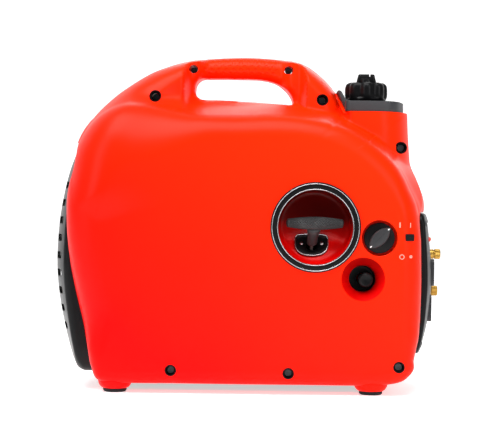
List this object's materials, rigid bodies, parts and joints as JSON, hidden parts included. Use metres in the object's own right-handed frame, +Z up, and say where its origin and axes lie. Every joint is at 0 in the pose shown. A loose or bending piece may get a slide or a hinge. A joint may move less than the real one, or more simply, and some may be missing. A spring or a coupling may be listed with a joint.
{
  "type": "portable inverter generator",
  "caption": "Compact portable inverter generator with a moulded carrying handle, recoil starter, fuel cap, engine switch, choke, louvred exhaust end and socket panel.",
  "frame": {"origin": "on the ground under the middle of the overall box", "axes": "+Z up, +X towards the control panel end, -Y towards the recoil starter side; the crankshaft runs along X"},
  "size_m": [0.4943, 0.291, 0.424],
  "materials": {
    "red_shell": "orange-red moulded polypropylene with a satin sheen",
    "red_recess": "deep red moulded plastic",
    "black_plastic": "fine-grained black moulded plastic",
    "dark_grey_plastic": "dark grey grained plastic",
    "tank_plastic": "black blow-moulded polyethylene",
    "panel_grey": "dark grey panel with a fine grain",
    "device_black": "smooth black plastic",
    "button_red": "smooth red plastic",
    "lamp_lens": "clear tinted lens",
    "rubber": "black moulded rubber",
    "engine_alloy": "die-cast aluminium, bead blasted",
    "machined_steel": "turned and ground steel",
    "dark_steel": "blackened steel",
    "rotor_iron": "cast iron with a machined rim",
    "copper_windings": "enamelled copper on laminated steel",
    "muffler_steel": "heat-tinted stainless steel",
    "brass": "turned brass",
    "ceramic_white": "glazed ceramic insulator",
    "reel_nylon": "natural nylon",
    "rope": "braided black cord",
    "cap_yellow": "yellow plastic"
  },
  "bodies": {
    "housing": {"side_cover_recoil": "red_shell", "side_cover_service": "red_shell", "base_pan": "black_plastic", "rubber_feet": "rubber", "cover_screws": "dark_steel", "exhaust_end_cover": "black_plastic", "muffler": "muffler_steel", "tail_pipe": "muffler_steel", "crankcase": "engine_alloy", "engine_cylinder": "engine_alloy", "cylinder_head": "engine_alloy", "rocker_cover": "black_plastic", "spark_plug": "ceramic_white", "main_bearings": "machined_steel", "piston": "engine_alloy", "stator": "copper_windings", "fan_shroud": "black_plastic", "starter_housing": "black_plastic", "recoil_spring": "dark_steel", "rope_guide": "black_plastic", "recoil_bowl": "red_recess", "recoil_bezel": "black_plastic", "carburetor": "engine_alloy", "air_cleaner_case": "black_plastic", "inverter_module": "engine_alloy", "panel_frame": "black_plastic", "panel_face": "panel_grey", "ac_sockets": "device_black", "dc_socket": "device_black", "usb_ports": "device_black", "brass_terminals": "brass", "indicator_lamps": "lamp_lens", "panel_screws": "dark_steel", "engine_mounts": "rubber", "fuel_valve": "engine_alloy", "fuel_tank": "tank_plastic", "filler_neck": "tank_plastic", "fuel_hose": "rubber", "filler_deck": "dark_grey_plastic"},
    "engine_rotor": {"crankshaft": "machined_steel", "flywheel": "rotor_iron", "cooling_fan": "black_plastic", "starter_cup": "machined_steel"},
    "reel": {"starter_reel": "reel_nylon", "rope_coil": "rope"},
    "pull_grip": {"recoil_grip": "black_plastic", "rope_run": "rope"},
    "cap_plug": {"cap_insert": "black_plastic"},
    "cap": {"cap_shell": "black_plastic"},
    "vent": {"vent_lever": "black_plastic"},
    "engine_switch": {"switch_knob": "device_black"},
    "choke": {"choke_knob": "device_black", "choke_rod": "machined_steel"},
    "service_cover": {"maintenance_cover": "red_shell"},
    "service_latch": {"maintenance_latch": "black_plastic"},
    "eco_rocker": {"eco_switch": "device_black"},
    "breaker_button": {"dc_breaker": "button_red"},
    "oil_cap": {"oil_filler_cap": "cap_yellow"}
  },
  "joints": [
    {"name": "engine_spin", "type": "hinge", "parent": "housing", "child": "engine_rotor", "pos_m": [0, 0, 0.155], "axis": [1, 0, 0], "continuous": true},
    {"name": "recoil_pull", "type": "slide", "parent": "housing", "child": "pull_grip", "axis": [0, -0.8192, 0.5736], "range_m": [0, 0.45]},
    {"name": "reel_turn", "type": "hinge", "parent": "housing", "child": "reel", "pos_m": [0.0764, 0, 0.155], "axis": [1, 0, 0], "range_deg": [-640, 1]},
    {"name": "cap_lift", "type": "slide", "parent": "housing", "child": "cap_plug", "axis": [0, 0, 1], "range_m": [0, 0.06]},
    {"name": "cap_turn", "type": "hinge", "parent": "cap_plug", "child": "cap", "pos_m": [0.1487, 0, 0.38], "axis": [0, 0, 1], "range_deg": [0, 90]},
    {"name": "vent_turn", "type": "hinge", "parent": "cap", "child": "vent", "pos_m": [0.1487, 0, 0.398], "axis": [0, 0, 1], "range_deg": [0, 90]},
    {"name": "engine_switch_turn", "type": "hinge", "parent": "housing", "child": "engine_switch", "pos_m": [0.1583, -0.13, 0.1935], "axis": [0, 1, 0], "range_deg": [0, 90]},
    {"name": "choke_slide", "type": "slide", "parent": "housing", "child": "choke", "axis": [0, -1, 0], "range_m": [0, 0.018]},
    {"name": "service_cover_lift", "type": "slide", "parent": "housing", "child": "service_cover", "axis": [0, 1, 0], "range_m": [0, 0.08]},
    {"name": "service_latch_turn", "type": "hinge", "parent": "service_cover", "child": "service_latch", "pos_m": [-0.0065, 0.14, 0.197], "axis": [0, 1, 0], "range_deg": [-90, 0]},
    {"name": "eco_switch_rock", "type": "hinge", "parent": "housing", "child": "eco_rocker", "pos_m": [0.22419, 0.052, 0.19], "axis": [0, 1, 0], "range_deg": [-16, 0]},
    {"name": "breaker_press", "type": "slide", "parent": "housing", "child": "breaker_button", "axis": [-1, 0, 0], "range_m": [0, 0.003], "stiffness_N_per_m": 400},
    {"name": "oil_cap_turn", "type": "hinge", "parent": "housing", "child": "oil_cap", "pos_m": [-0.05, 0.07, 0.118], "axis": [0, -1, 0], "range_deg": [0, 360]}
  ],
  "couplings": [
    {"joint": "reel_turn", "follows": "recoil_pull", "rad_per_m": -23.673}
  ]
}
